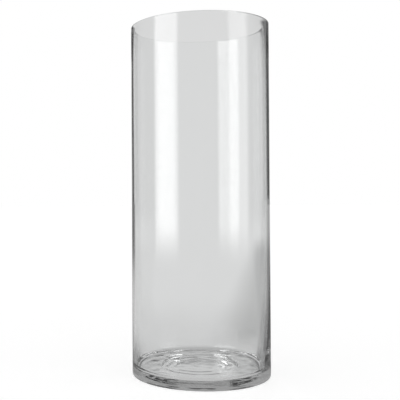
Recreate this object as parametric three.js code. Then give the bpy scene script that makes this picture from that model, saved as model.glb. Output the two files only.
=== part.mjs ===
// A glass cylinder vase: a straight-sided, hand-blown florist's vase in clear glass.
// It is one piece of glass. Its three zones are separate meshes that meet face to face on level planes:
// the thick base with its heel, the thin wall, and the fire-polished rim.
// Millimetres, +Z up, origin at the centre of the face that it stands on.

import * as THREE from "three";

// Driving dimensions.
const HEIGHT = 305;
const FOOT_RADIUS = 60.3; // outside, at the foot
const MOUTH_RADIUS = 59.9; // outside, at the rim: the mould has a slight draft
const WALL = 1.6; // thickness of the glass over the middle of the vase
const LIP = 2.8; // thickness at the rim, where the flame gathers the cut edge
const LIP_REACH = 12; // how fast the lip fades out below it
const HEEL = 5.6; // thickness that the wall would reach at the bottom
const HEEL_REACH = 45; // how fast the thick heel fades out above it
const FLOOR = 8; // height of the inside floor at its edge
const FLOOR_DIP = 0.2; // the floor is a little lower in the middle
const FLOOR_FILLET = 5; // inside, between the floor and the wall
const FOOT_ROUND = 2.2; // outside, between the foot and the wall
const LIP_ROUND = 0.8; // on both edges of the rim
const PUNT_RADIUS = 36; // the shallow hollow under the base
const PUNT_RISE = 1.4;

// Heights of the two planes that part the zones.
const BASE_TOP = 24;
const RIM_BOTTOM = HEIGHT - 26;

// Smoothness of the turned surfaces.
const TURN_STEPS = 72;
const ARC_STEPS = 5;
const HEEL_STEPS = 2;
const WALL_STEPS = 12;
const RIM_STEPS = 8;

// Clear soda-lime glass. Thick glass looks a little greyer, and flame-polished glass is the smoothest.
function clearGlass(color, roughness) {
  return new THREE.MeshStandardMaterial({
    color,
    roughness,
    metalness: 0,
    transparent: true,
    opacity: 0.35,
  });
}

function outerRadius(z) {
  return THREE.MathUtils.lerp(FOOT_RADIUS, MOUTH_RADIUS, z / HEIGHT);
}

// The wall thickens towards the heel and towards the lip.
function thickness(z) {
  const heel = (HEEL - WALL) * Math.exp(-z / HEEL_REACH);
  const lip = (LIP - WALL) * Math.exp((z - HEIGHT) / LIP_REACH);
  return WALL + heel + lip;
}

function innerRadius(z) {
  return outerRadius(z) - thickness(z);
}

// Points on a face whose radius depends on its height, from one height to another.
function face(radiusAt, from, to, steps) {
  return Array.from({ length: steps + 1 }, (_, i) => {
    const z = THREE.MathUtils.lerp(from, to, i / steps);
    return new THREE.Vector2(radiusAt(z), z);
  });
}

// Points on an arc round (r, z), from one angle to another, in degrees.
function arc(r, z, radius, from, to) {
  return Array.from({ length: ARC_STEPS + 1 }, (_, i) => {
    const angle = THREE.MathUtils.degToRad(
      THREE.MathUtils.lerp(from, to, i / ARC_STEPS),
    );
    return new THREE.Vector2(
      r + radius * Math.cos(angle),
      z + radius * Math.sin(angle),
    );
  });
}

// Points on a shallow dome or dish, from the axis out to its edge.
function dish(edgeRadius, edgeZ, middleZ) {
  return Array.from({ length: ARC_STEPS + 1 }, (_, i) => {
    const share = i / ARC_STEPS;
    const z = THREE.MathUtils.lerp(middleZ, edgeZ, share ** 2);
    return new THREE.Vector2(edgeRadius * share, z);
  });
}

// Turns an outline of radii and heights round the Z axis. It runs up the outside and down the inside.
function turned(name, material, outline) {
  const geometry = new THREE.LatheGeometry(outline, TURN_STEPS);
  geometry.rotateX(Math.PI / 2);
  const mesh = new THREE.Mesh(geometry, material);
  mesh.name = name;
  return mesh;
}

function closed(outline) {
  return [...outline, outline[0].clone()];
}

// The slab, its foot ring and punt below, and the thick heel of the wall above.
function base() {
  const filletTop = FLOOR + FLOOR_FILLET;
  const filletRadius = innerRadius(filletTop);
  const foot = outerRadius(FOOT_ROUND);
  return turned("base", clearGlass(0xdde1e1, 0.05), [
    ...dish(PUNT_RADIUS, 0, PUNT_RISE),
    ...arc(foot - FOOT_ROUND, FOOT_ROUND, FOOT_ROUND, -90, 0),
    new THREE.Vector2(outerRadius(BASE_TOP), BASE_TOP),
    ...face(innerRadius, BASE_TOP, filletTop, HEEL_STEPS),
    ...arc(filletRadius - FLOOR_FILLET, filletTop, FLOOR_FILLET, 0, -90).slice(1),
    ...dish(filletRadius - FLOOR_FILLET, FLOOR, FLOOR - FLOOR_DIP)
      .reverse()
      .slice(1),
  ]);
}

function wall() {
  return turned(
    "wall",
    clearGlass(0xe9eded, 0.04),
    closed([
      new THREE.Vector2(outerRadius(BASE_TOP), BASE_TOP),
      new THREE.Vector2(outerRadius(RIM_BOTTOM), RIM_BOTTOM),
      ...face(innerRadius, RIM_BOTTOM, BASE_TOP, WALL_STEPS),
    ]),
  );
}

// The rim's top edge is rounded on both sides, with a narrow flat between.
function rim() {
  const turn = HEIGHT - LIP_ROUND;
  return turned(
    "rim",
    clearGlass(0xe9eded, 0.02),
    closed([
      new THREE.Vector2(outerRadius(RIM_BOTTOM), RIM_BOTTOM),
      ...arc(outerRadius(turn) - LIP_ROUND, turn, LIP_ROUND, 0, 90),
      ...arc(innerRadius(turn) + LIP_ROUND, turn, LIP_ROUND, 90, 180),
      ...face(innerRadius, turn, RIM_BOTTOM, RIM_STEPS).slice(1),
    ]),
  );
}

const vase = new THREE.Group();
vase.add(base(), wall(), rim());

export default vase;
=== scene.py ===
"""A glass cylinder vase on a pale studio table.

The vase is one skin of clear glass, turned about the Z axis from an outline and then made slightly uneven,
as hand-blown glass is. Everything is in metres.
"""
import math

import bpy
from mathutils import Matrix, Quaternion, Vector, noise


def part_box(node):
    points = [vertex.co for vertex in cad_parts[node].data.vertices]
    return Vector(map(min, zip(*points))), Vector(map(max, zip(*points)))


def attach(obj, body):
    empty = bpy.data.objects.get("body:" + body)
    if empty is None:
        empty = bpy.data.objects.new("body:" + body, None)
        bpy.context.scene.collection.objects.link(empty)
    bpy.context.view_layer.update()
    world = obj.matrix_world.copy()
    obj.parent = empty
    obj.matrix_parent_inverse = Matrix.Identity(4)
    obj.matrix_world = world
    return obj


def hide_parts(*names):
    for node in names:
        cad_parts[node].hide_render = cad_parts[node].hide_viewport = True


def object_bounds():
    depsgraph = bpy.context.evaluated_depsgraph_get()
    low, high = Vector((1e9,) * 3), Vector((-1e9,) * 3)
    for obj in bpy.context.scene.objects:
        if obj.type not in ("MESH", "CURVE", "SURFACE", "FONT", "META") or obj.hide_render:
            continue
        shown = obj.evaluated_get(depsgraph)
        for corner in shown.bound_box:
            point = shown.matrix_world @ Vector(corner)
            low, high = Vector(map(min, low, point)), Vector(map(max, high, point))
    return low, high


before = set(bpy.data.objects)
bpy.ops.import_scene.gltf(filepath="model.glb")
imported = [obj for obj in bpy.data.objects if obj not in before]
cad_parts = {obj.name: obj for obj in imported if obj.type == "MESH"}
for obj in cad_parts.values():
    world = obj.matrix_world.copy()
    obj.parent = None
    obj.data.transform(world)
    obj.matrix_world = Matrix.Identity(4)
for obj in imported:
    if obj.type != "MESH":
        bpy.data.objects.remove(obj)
cad_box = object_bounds()

MM = 0.001
HEIGHT = cad_box[1].z
FOOT_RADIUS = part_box("base")[1].x
MOUTH_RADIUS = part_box("rim")[1].x

# The glass, as in the CAD.
WALL = 1.6 * MM
LIP = 2.8 * MM
LIP_REACH = 12 * MM
LIP_ROUND = 0.8 * MM
HEEL = 5.6 * MM
HEEL_REACH = 45 * MM
FLOOR = 8 * MM
FLOOR_DIP = 0.2 * MM
FLOOR_FILLET = 5 * MM
FOOT_ROUND = 2.2 * MM
PUNT_RADIUS = 36 * MM
PUNT_RISE = 1.4 * MM

# Blown glass is a little uneven. The inside leans towards -X at the heel and at the lip, so the glass is
# thicker on the other side, and the cut rim is a little higher there. The floor is higher at the back.
HEEL_LEAN = 1.6 * MM
HEEL_LEAN_REACH = 45 * MM
LIP_LEAN = 0.5 * MM
LIP_LEAN_REACH = 40 * MM
FLOOR_TILT = 1.0 * MM
FLOOR_TILT_REACH = 30 * MM
RIM_TILT = 0.5 * MM
RIM_TILT_REACH = 60 * MM

# Slow waves in the wall.
WALL_WAVE = 0.05 * MM
WALL_WAVE_WIDTH = 26 * MM
WALL_WAVE_HEIGHT = 90 * MM
INSIDE_WAVE_LAYER = 7  # the inside takes its waves from another layer of the noise

# The swirl that the gather leaves under the base, strongest at SWIRL_RADIUS. It comes and goes in patches.
SWIRL_RADIUS = 30 * MM
SWIRL_SPREAD = 9 * MM
SWIRL_DEPTH = 0.3 * MM
SWIRL_PITCH = 9 * MM
SWIRL_WANDER = 5 * MM
SWIRL_WANDER_SIZE = 3 * SWIRL_PITCH
SWIRL_EDGE = 4 * MM  # it dies out over this width at the edge of the punt
PATCH_SIZE = 1.5 * SWIRL_PITCH
PATCH_LAYER = 9 * SWIRL_PITCH
PATCH_LEVEL = 0.5
PATCH_GAIN = 1.6

# A fine irregular ripple on both faces of the base.
BASE_WAVE = 0.1 * MM
BASE_WAVE_SIZE = 8 * MM

# The surface of the glass, and what thick glass does to light.
SMEAR_SIZE = 30 * MM
SMEAR_DETAIL = 4
SMEAR_START = 0.45
SMEAR_FULL = 0.75
SMEAR_ROUGHNESS = 0.03
SKIN_SIZE = 9 * MM
SKIN_DETAIL = 1
SKIN_DEPTH = 0.003 * MM
GLASS_IOR = 1.52
GLASS_TINTS = ((0.98, 0.986, 0.985, 1), (0.99, 0.994, 0.994, 1))
ABSORPTION_COLOR = (0.9, 0.9, 0.9, 1)
ABSORPTION_DENSITY = 57

# Points round the vase, and along each stretch of its outline.
TURN_STEPS = 280
PUNT_STEPS = 50
FOOT_STEPS = 12
FOOT_ROUND_STEPS = 12
LOW_SIDE_TOP = 12 * MM  # the points are closer together below this height
LOW_SIDE_STEPS = 14
SIDE_STEPS = 60
LIP_STEPS = 10
INSIDE_STEPS = 100
FILLET_STEPS = 16
FLOOR_STEPS = 70

# Camera.
CAMERA_DISTANCE = 0.646
EYE_HEIGHT = 0.1562
AIM_ASIDE = math.radians(6.2)
ROLL = math.radians(-0.33)
LENS = 65.7
SHIFT_X = 0.198
SHIFT_Y = -0.0080
NEAREST = 0.01


def mix(a, b, share):
    return a + (b - a) * share


# ---------------------------------------------------------------- shape of the glass


def outer_radius(z):
    return mix(FOOT_RADIUS, MOUTH_RADIUS, z / HEIGHT)


def thickness(z):
    heel = (HEEL - WALL) * math.exp(-z / HEEL_REACH)
    bead = (LIP - WALL) * math.exp(-(HEIGHT - z) / LIP_REACH)
    return WALL + heel + bead


def inner_radius(z):
    return outer_radius(z) - thickness(z)


def arc(r, z, radius, start, end, steps):
    """Points on an arc round (r, z), between two angles in degrees."""
    angles = [math.radians(mix(start, end, i / steps)) for i in range(steps + 1)]
    return [(r + radius * math.cos(a), z + radius * math.sin(a)) for a in angles]


def straight(radius_at, start, end, steps):
    """Points up or down a face whose radius depends on its height."""
    heights = [mix(start, end, i / steps) for i in range(steps + 1)]
    return [(radius_at(z), z) for z in heights]


def dish(radius, edge_z, middle_z, steps):
    """Points on a shallow dome or dish, from the axis out to its edge."""
    shares = [i / steps for i in range(steps + 1)]
    return [(radius * s, mix(middle_z, edge_z, s * s)) for s in shares]


def outline():
    """(radius, height, surface): from the middle of the foot up, over the lip, and down to the floor."""
    foot = outer_radius(FOOT_ROUND)
    turn = HEIGHT - LIP_ROUND
    fillet_top = FLOOR + FLOOR_FILLET
    floor_edge = inner_radius(fillet_top) - FLOOR_FILLET
    foot_shares = [i / FOOT_STEPS for i in range(1, FOOT_STEPS)]
    under = [
        *dish(PUNT_RADIUS, 0, PUNT_RISE, PUNT_STEPS),
        *[(mix(PUNT_RADIUS, foot - FOOT_ROUND, share), 0) for share in foot_shares],
    ]
    outside = [
        *arc(foot - FOOT_ROUND, FOOT_ROUND, FOOT_ROUND, -90, 0, FOOT_ROUND_STEPS),
        *straight(outer_radius, FOOT_ROUND, LOW_SIDE_TOP, LOW_SIDE_STEPS)[1:],
        *straight(outer_radius, LOW_SIDE_TOP, turn, SIDE_STEPS)[1:],
        *arc(outer_radius(turn) - LIP_ROUND, turn, LIP_ROUND, 0, 90, LIP_STEPS)[1:],
    ]
    inside = [
        *arc(inner_radius(turn) + LIP_ROUND, turn, LIP_ROUND, 90, 180, LIP_STEPS),
        *straight(inner_radius, turn, fillet_top, INSIDE_STEPS)[1:],
        *arc(floor_edge, fillet_top, FLOOR_FILLET, 0, -90, FILLET_STEPS)[1:],
    ]
    floor = reversed(dish(floor_edge, FLOOR, FLOOR - FLOOR_DIP, FLOOR_STEPS)[:-1])
    surfaces = {"under": under, "outside": outside, "inside": inside, "floor": floor}
    return [(r, z, name) for name, points in surfaces.items() for r, z in points]


def swirl(x, y, radius, turn):
    """Height of the spiral ripple at a place under the base."""
    wander = SWIRL_WANDER * noise.noise(Vector((x, y, 0)) / SWIRL_WANDER_SIZE)
    patch = PATCH_LEVEL + noise.noise(Vector((x, y, PATCH_LAYER)) / PATCH_SIZE)
    strength = math.exp(-(((radius - SWIRL_RADIUS) / SWIRL_SPREAD) ** 2))
    strength *= max(0, min(1, patch)) * PATCH_GAIN
    return SWIRL_DEPTH * strength * math.sin(2 * math.pi * (radius + wander) / SWIRL_PITCH + turn)


def uneven(radius, turn, z, surface):
    """A point of the glass with the small unevenness of blown glass."""
    if surface in ("inside", "outside"):
        around = Vector((math.cos(turn), math.sin(turn), 0)) * FOOT_RADIUS / WALL_WAVE_WIDTH
        up = Vector((0, 0, z / WALL_WAVE_HEIGHT))
        layer = Vector((0, 0, INSIDE_WAVE_LAYER if surface == "inside" else 0))
        radius += WALL_WAVE * noise.noise(around + up + layer)
    x = radius * math.cos(turn)
    y = radius * math.sin(turn)
    if surface in ("inside", "floor"):
        heel = HEEL_LEAN * math.exp(-z / HEEL_LEAN_REACH)
        lip = LIP_LEAN * math.exp((z - HEIGHT) / LIP_LEAN_REACH)
        x -= heel + lip
    if surface == "under" and radius < PUNT_RADIUS:
        fade = min(1, (PUNT_RADIUS - radius) / SWIRL_EDGE)
        wave = BASE_WAVE * noise.noise(Vector((x, y, 0)) / BASE_WAVE_SIZE)
        z += fade * (swirl(x, y, radius, turn) + wave)
    if surface == "floor":
        z += BASE_WAVE * noise.noise(Vector((x, y, FLOOR)) / BASE_WAVE_SIZE)
    if surface in ("inside", "floor"):
        z += FLOOR_TILT * y / FOOT_RADIUS * math.exp((FLOOR - z) / FLOOR_TILT_REACH)
    z += RIM_TILT * x / FOOT_RADIUS * math.exp((z - HEIGHT) / RIM_TILT_REACH)
    return Vector((x, y, z))


def turned_mesh(name, stations, steps):
    """A closed skin: rings of points about Z, and one point where the outline meets the axis at each end."""
    points = []
    faces = []
    starts = []
    first = 0
    last = len(stations) - 1
    for number, (radius, z, surface) in enumerate(stations):
        starts.append(len(points))
        count = 1 if number in (first, last) else steps
        for i in range(count):
            points.append(uneven(radius, 2 * math.pi * i / steps, z, surface))
    for number in range(last):
        low = starts[number]
        high = starts[number + 1]
        for i in range(steps):
            j = (i + 1) % steps
            if number == first:
                faces.append((low, high + j, high + i))
            elif number + 1 == last:
                faces.append((low + i, low + j, high))
            else:
                faces.append((low + i, low + j, high + j, high + i))
    mesh = bpy.data.meshes.new(name)
    mesh.from_pydata(points, [], faces)
    mesh.validate()
    mesh.shade_smooth()
    return mesh


# ---------------------------------------------------------------- shader nodes


def new_material(name):
    material = bpy.data.materials.new(name)
    material.use_nodes = True
    material.node_tree.nodes.clear()
    return material, material.node_tree


def node(tree, kind, **settings):
    made = tree.nodes.new(kind)
    for key, value in settings.items():
        setattr(made, key, value)
    return made


def math_node(tree, operation, a, b=None):
    made = node(tree, "ShaderNodeMath", operation=operation)
    for socket, value in zip(made.inputs, (a, b)):
        if value is None:
            continue
        if isinstance(value, (int, float)):
            socket.default_value = value
        else:
            tree.links.new(value, socket)
    return made.outputs[0]


def product(tree, *values):
    result = values[0]
    for value in values[1:]:
        result = math_node(tree, "MULTIPLY", result, value)
    return result


def smooth_step(tree, value, start, end, low=0.0, high=1.0):
    step = node(tree, "ShaderNodeMapRange", interpolation_type="SMOOTHSTEP")
    step.inputs["From Min"].default_value = start
    step.inputs["From Max"].default_value = end
    step.inputs["To Min"].default_value = low
    step.inputs["To Max"].default_value = high
    tree.links.new(value, step.inputs["Value"])
    return step.outputs["Result"]


def fade_in(tree, value, span):
    return smooth_step(tree, value, *span)


def fade_out(tree, value, span):
    return smooth_step(tree, value, *span, 1, 0)


def noise_of(tree, place, size, detail):
    """Soft noise whose patches are about `size` across."""
    made = node(tree, "ShaderNodeTexNoise")
    made.inputs["Scale"].default_value = 1 / size
    made.inputs["Detail"].default_value = detail
    tree.links.new(place, made.inputs["Vector"])
    return made.outputs["Fac"]


def split_of(tree, vector):
    split = node(tree, "ShaderNodeSeparateXYZ")
    tree.links.new(vector, split.inputs[0])
    return split.outputs


def choose(tree, output, share, first, second):
    """Shows the first shader where share is 0, and the second where it is 1."""
    made = node(tree, "ShaderNodeMixShader")
    for value, socket in zip((share, first, second), made.inputs):
        tree.links.new(value, socket)
    tree.links.new(made.outputs[0], node(tree, output).inputs[0])


# ---------------------------------------------------------------- the glass


def glass_material():
    """Clear glass with a faint grey-green cast, faint smears, and a skin that is not perfectly flat."""
    material, tree = new_material("clear_glass")
    place = node(tree, "ShaderNodeTexCoord").outputs["Object"]
    smears = noise_of(tree, place, SMEAR_SIZE, SMEAR_DETAIL)
    shader = node(tree, "ShaderNodeBsdfPrincipled")
    shader.inputs["IOR"].default_value = GLASS_IOR
    shader.inputs["Transmission Weight"].default_value = 1.0
    tint = node(tree, "ShaderNodeValToRGB")
    for element, color in zip(tint.color_ramp.elements, GLASS_TINTS):
        element.color = color
    tree.links.new(smears, tint.inputs["Fac"])
    tree.links.new(tint.outputs["Color"], shader.inputs["Base Color"])
    roughness = smooth_step(tree, smears, SMEAR_START, SMEAR_FULL, 0, SMEAR_ROUGHNESS)
    tree.links.new(roughness, shader.inputs["Roughness"])
    bump = node(tree, "ShaderNodeBump")
    bump.inputs["Strength"].default_value = 1
    bump.inputs["Distance"].default_value = SKIN_DEPTH
    tree.links.new(noise_of(tree, place, SKIN_SIZE, SKIN_DETAIL), bump.inputs["Height"])
    tree.links.new(bump.outputs["Normal"], shader.inputs["Normal"])
    dark = node(tree, "ShaderNodeVolumeAbsorption")
    dark.inputs["Color"].default_value = ABSORPTION_COLOR
    dark.inputs["Density"].default_value = ABSORPTION_DENSITY
    out = node(tree, "ShaderNodeOutputMaterial")
    tree.links.new(shader.outputs[0], out.inputs["Surface"])
    tree.links.new(dark.outputs[0], out.inputs["Volume"])
    return material


# ---------------------------------------------------------------- studio

BOUNCES = 16
PALE = 0.715  # the room and the table as the glass shows them

# The room. Each pair is two bearings, in degrees from straight behind the vase.
CARD_RIGHT = (14, 38)
CARD_LEFT = (16, 34)
CARD_SOFT = 3
CARD_DARK = 0.12  # how much of PALE is left on the cards
SIDE_RIGHT = (43, 93)
SIDE_LEFT = (43, 101)
SIDE_SOFT = 5
SIDE_SHADE_RIGHT = 0.35
SIDE_SHADE_LEFT = 0.25
CEILING_DARK = 0.3  # and on the ceiling
CEILING_FROM = math.radians(28)
CEILING_TO = math.radians(55)

# The table.
TABLE_SIZE = 24
TABLE_GAP = 0.05 * MM  # glass never quite touches a table
TABLE_COLOR = (0.9, 0.9, 0.9, 1)
TABLE_GLOW = 0.7

# Painted shades on the table, which show only in the glass. Each pair is two distances from the middle of
# the vase, between which the shade comes in (_IN) or dies out (_OUT), or two bearings (_BEARINGS). _BACK_IN
# distances are measured straight back.
# Near the vase the table has a painted shade, down to this share of PALE.
NEAR_SHADE_LEVEL = 0.9
NEAR_OUT = (0.05, 0.45)
SLANT_SHADE = 0.36
SLANT_X = 0.018
SLANT_SLOPE = 0.14
SLANT_SOFT = 0.038
SLANT_BACK_IN = (0.04, 0.16)
SLANT_OUT = (1.1, 1.9)
EDGE_X = 0.056
EDGE_Y = 0.02
CARD_BEARINGS = (15, 40)
RIGHT_CARD_SHADE = 0.5
RIGHT_CARD_START = 0.7
RIGHT_CARD_IN = (0.3, 0.8)
LEFT_CARD_SHADE = 0.8
LEFT_CARD_START = 0.15
LEFT_CARD_IN = (0.1, 1.6)
CORNER_SHADE = 0.3
CORNER_BEARINGS = (44, 80)
CORNER_SOFT = 4
CORNER_OUT = (0.25, 0.5)
UNDER_SHADE = 0.12
UNDER_OUT = (0.04, 0.1)
RING_SHADE = 0.2
RING_IN = (0.05, 0.056)
RING_OUT = (0.062, 0.075)
RING_BACK_IN = (0.03, 0.05)
FAR_IN = (1.5, 6)
BESIDE_SHADE = 0.4
BESIDE_BEARINGS = (55, 150)
BESIDE_SOFT = 10
BESIDE_IN = (0.06, 0.07)
BESIDE_OUT = (0.12, 0.25)

# The softboxes.
SOFTBOX_DISTANCE = 0.9
SOFTBOX_BOTTOM = 0.005
SOFTBOX_TOP = 1.5
SOFTBOX_FADE = 0.10  # its light comes in over this height at the bottom
SOFTBOX_EDGE = 0.14  # and fades out over this width at each side


def bearing_of(tree, vector, x=0.0, y=0.0, side=1):
    """The bearing of a place from (x, y), or of a direction: 0 is straight back, positive to one side."""
    parts = split_of(tree, vector)
    across = math_node(tree, "MULTIPLY", math_node(tree, "SUBTRACT", parts[0], x), side)
    return math_node(tree, "ARCTAN2", across, math_node(tree, "SUBTRACT", parts[1], y))


def band(tree, bearing, span, soft):
    """1 between two bearings in degrees, and 0 elsewhere."""
    start, end = span
    rise = fade_in(tree, bearing, (math.radians(start - soft), math.radians(start + soft)))
    fall = fade_out(tree, bearing, (math.radians(end - soft), math.radians(end + soft)))
    return math_node(tree, "MULTIPLY", rise, fall)


def shaded(tree, value, amount, share):
    """value, less a share of it where amount is 1."""
    kept = math_node(tree, "SUBTRACT", 1, math_node(tree, "MULTIPLY", amount, share))
    return math_node(tree, "MULTIPLY", value, kept)


def room_sides(tree, level, bearing, share):
    """The room is darker to both sides, on the walls and on the far table."""
    mirrored = math_node(tree, "MULTIPLY", bearing, -1)
    left = math_node(tree, "MULTIPLY", band(tree, mirrored, SIDE_LEFT, SIDE_SOFT), share)
    right = math_node(tree, "MULTIPLY", band(tree, bearing, SIDE_RIGHT, SIDE_SOFT), share)
    level = shaded(tree, level, left, SIDE_SHADE_LEFT)
    return shaded(tree, level, right, SIDE_SHADE_RIGHT)


def make_world():
    """A white room for the camera, and for the glass a pale one with two dark cards and a dark ceiling."""
    world = bpy.data.worlds.new("studio")
    bpy.context.scene.world = world
    world.use_nodes = True
    tree = world.node_tree
    tree.nodes.clear()
    direction = node(tree, "ShaderNodeTexCoord").outputs["Generated"]
    bearing = bearing_of(tree, direction)
    mirrored = math_node(tree, "MULTIPLY", bearing, -1)
    level = shaded(tree, PALE, band(tree, bearing, CARD_RIGHT, CARD_SOFT), 1 - CARD_DARK)
    level = shaded(tree, level, band(tree, mirrored, CARD_LEFT, CARD_SOFT), 1 - CARD_DARK)
    level = room_sides(tree, level, bearing, 1)
    ceiling = fade_in(tree, split_of(tree, direction)[2], (math.sin(CEILING_FROM), math.sin(CEILING_TO)))
    level = shaded(tree, level, ceiling, 1 - CEILING_DARK)
    grey = node(tree, "ShaderNodeBackground")
    tree.links.new(level, grey.inputs["Color"])
    white = node(tree, "ShaderNodeBackground")
    white.inputs["Color"].default_value = (1, 1, 1, 1)
    camera_ray = node(tree, "ShaderNodeLightPath").outputs["Is Camera Ray"]
    choose(tree, "ShaderNodeOutputWorld", camera_ray, grey.outputs[0], white.outputs[0])


def flat_object(name, corners):
    mesh = bpy.data.meshes.new(name)
    mesh.from_pydata(corners, [], [tuple(range(len(corners)))])
    made = bpy.data.objects.new(name, mesh)
    bpy.context.scene.collection.objects.link(made)
    return made


def slanting_shade(tree, place, away):
    """The table behind the vase is in a soft painted shade on the right of a slanting line."""
    across, back, _ = split_of(tree, place)
    beyond = math_node(tree, "SUBTRACT", across, math_node(tree, "MULTIPLY", back, SLANT_SLOPE))
    return product(
        tree,
        fade_in(tree, beyond, (SLANT_X - SLANT_SOFT, SLANT_X + SLANT_SOFT)),
        fade_out(tree, away, SLANT_OUT),
        fade_in(tree, back, SLANT_BACK_IN),
    )


def card_shades(tree, level, place, away):
    """Painted card shades on the table, from the vase's two edges, and one beside its right edge."""
    to_right = bearing_of(tree, place, EDGE_X, EDGE_Y)
    to_left = bearing_of(tree, place, -EDGE_X, EDGE_Y, -1)
    right = product(
        tree,
        band(tree, to_right, CARD_BEARINGS, CARD_SOFT),
        smooth_step(tree, away, *RIGHT_CARD_IN, RIGHT_CARD_START, 1),
    )
    corner = product(
        tree,
        band(tree, to_right, CORNER_BEARINGS, CORNER_SOFT),
        fade_out(tree, away, CORNER_OUT),
    )
    left = product(
        tree,
        band(tree, to_left, CARD_BEARINGS, CARD_SOFT),
        smooth_step(tree, away, *LEFT_CARD_IN, LEFT_CARD_START, 1),
    )
    level = shaded(tree, level, right, RIGHT_CARD_SHADE)
    level = shaded(tree, level, corner, CORNER_SHADE)
    return shaded(tree, level, left, LEFT_CARD_SHADE)


def foot_ring_shadow(tree, place, away):
    """A painted contact shadow: a dark ring where the foot meets the table, at the back."""
    return product(
        tree,
        fade_in(tree, away, RING_IN),
        fade_out(tree, away, RING_OUT),
        fade_in(tree, split_of(tree, place)[1], RING_BACK_IN),
    )


def shade_beside_vase(tree, bearing, away):
    """A painted shade: the table is darker close to both sides of the vase."""
    return product(
        tree,
        band(tree, math_node(tree, "ABSOLUTE", bearing), BESIDE_BEARINGS, BESIDE_SOFT),
        fade_in(tree, away, BESIDE_IN),
        fade_out(tree, away, BESIDE_OUT),
    )


def table_in_glass(tree):
    """How pale the table is where the glass shows it, with its painted shades."""
    place = node(tree, "ShaderNodeTexCoord").outputs["Object"]
    length = node(tree, "ShaderNodeVectorMath", operation="LENGTH")
    tree.links.new(place, length.inputs[0])
    away = length.outputs["Value"]
    bearing = bearing_of(tree, place)
    level = smooth_step(tree, away, *NEAR_OUT, NEAR_SHADE_LEVEL * PALE, PALE)
    level = shaded(tree, level, slanting_shade(tree, place, away), SLANT_SHADE)
    level = card_shades(tree, level, place, away)
    level = shaded(tree, level, fade_out(tree, away, UNDER_OUT), UNDER_SHADE)
    level = shaded(tree, level, foot_ring_shadow(tree, place, away), RING_SHADE)
    level = room_sides(tree, level, bearing, fade_in(tree, away, FAR_IN))
    return shaded(tree, level, shade_beside_vase(tree, bearing, away), BESIDE_SHADE)


def make_table():
    """The camera sees the table white, with soft shadows. The glass shows it pale, with its painted shades.
    """
    half = TABLE_SIZE / 2
    plan = [(-half, -half), (half, -half), (half, half), (-half, half)]
    table = flat_object("floor", [(x, y, -TABLE_GAP) for x, y in plan])
    material, tree = new_material("pale_floor")
    matt = node(tree, "ShaderNodeBsdfDiffuse")
    matt.inputs["Color"].default_value = TABLE_COLOR
    glow = node(tree, "ShaderNodeEmission")
    glow.inputs["Strength"].default_value = TABLE_GLOW
    seen = node(tree, "ShaderNodeAddShader")
    tree.links.new(matt.outputs[0], seen.inputs[0])
    tree.links.new(glow.outputs[0], seen.inputs[1])
    through = node(tree, "ShaderNodeEmission")
    tree.links.new(table_in_glass(tree), through.inputs["Color"])
    camera_ray = node(tree, "ShaderNodeLightPath").outputs["Is Camera Ray"]
    choose(tree, "ShaderNodeOutputMaterial", camera_ray, through.outputs[0], seen.outputs[0])
    table.data.materials.append(material)


def softbox(name, start, end, strength):
    """A tall lit panel facing the vase. Bearings are in degrees, from the camera's side to the right."""
    middle = math.radians((start + end) / 2)
    half = SOFTBOX_DISTANCE * math.tan(math.radians((end - start) / 2)) + SOFTBOX_EDGE / 2
    centre = Vector((math.sin(middle), -math.cos(middle), 0)) * SOFTBOX_DISTANCE
    sideways = Vector((math.cos(middle), math.sin(middle), 0))
    along = sideways * half
    corners = [centre - along, centre + along, centre + along, centre - along]
    heights = [SOFTBOX_BOTTOM, SOFTBOX_BOTTOM, SOFTBOX_TOP, SOFTBOX_TOP]
    panel = flat_object(name, [(p.x, p.y, z) for p, z in zip(corners, heights)])
    panel.visible_camera = False
    material, tree = new_material(name)
    place = node(tree, "ShaderNodeNewGeometry").outputs["Position"]
    aside = node(tree, "ShaderNodeVectorMath", operation="DOT_PRODUCT")
    aside.inputs[1].default_value = sideways
    tree.links.new(place, aside.inputs[0])
    from_middle = math_node(tree, "ABSOLUTE", aside.outputs["Value"])
    share = product(
        tree,
        fade_out(tree, from_middle, (half - SOFTBOX_EDGE, half)),
        fade_in(tree, split_of(tree, place)[2], (SOFTBOX_BOTTOM, SOFTBOX_BOTTOM + SOFTBOX_FADE)),
    )
    lit = math_node(tree, "ADD", PALE, math_node(tree, "MULTIPLY", share, strength - PALE))
    glow = node(tree, "ShaderNodeEmission")
    tree.links.new(lit, glow.inputs["Strength"])
    # Only reflections show the panel, so the glass is clear from every side.
    clear = node(tree, "ShaderNodeBsdfTransparent")
    reflected = math_node(tree, "MINIMUM", node(tree, "ShaderNodeLightPath").outputs["Glossy Depth"], 1)
    choose(tree, "ShaderNodeOutputMaterial", reflected, clear.outputs[0], glow.outputs[0])
    panel.data.materials.append(material)


def set_bounces():
    """Light turns many times inside the thick base before it leaves."""
    cycles = bpy.context.scene.cycles
    cycles.max_bounces = BOUNCES
    cycles.transmission_bounces = BOUNCES
    cycles.glossy_bounces = BOUNCES


def make_camera():
    data = bpy.data.cameras.new("camera")
    data.lens = LENS
    data.shift_x = SHIFT_X
    data.shift_y = SHIFT_Y
    data.clip_start = NEAREST
    camera = bpy.data.objects.new("camera", data)
    camera.location = (0, -CAMERA_DISTANCE, EYE_HEIGHT)
    ahead = Vector((-math.sin(AIM_ASIDE), math.cos(AIM_ASIDE), 0))
    camera.rotation_mode = "QUATERNION"
    level = ahead.to_track_quat("-Z", "Y")
    camera.rotation_quaternion = level @ Quaternion((0, 0, 1), ROLL)
    bpy.context.scene.collection.objects.link(camera)
    bpy.context.scene.camera = camera


bpy.context.scene.view_settings.view_transform = "Standard"
set_bounces()
make_camera()
make_world()
make_table()
softbox("softbox_left", start=-76, end=-35, strength=3.1)
softbox("softbox_right", start=48, end=82, strength=2.1)

vase = bpy.data.objects.new("vase_glass", turned_mesh("vase_glass", outline(), TURN_STEPS))
bpy.context.scene.collection.objects.link(vase)
vase.data.materials.append(glass_material())
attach(vase, "root")
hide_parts("base", "wall", "rim")
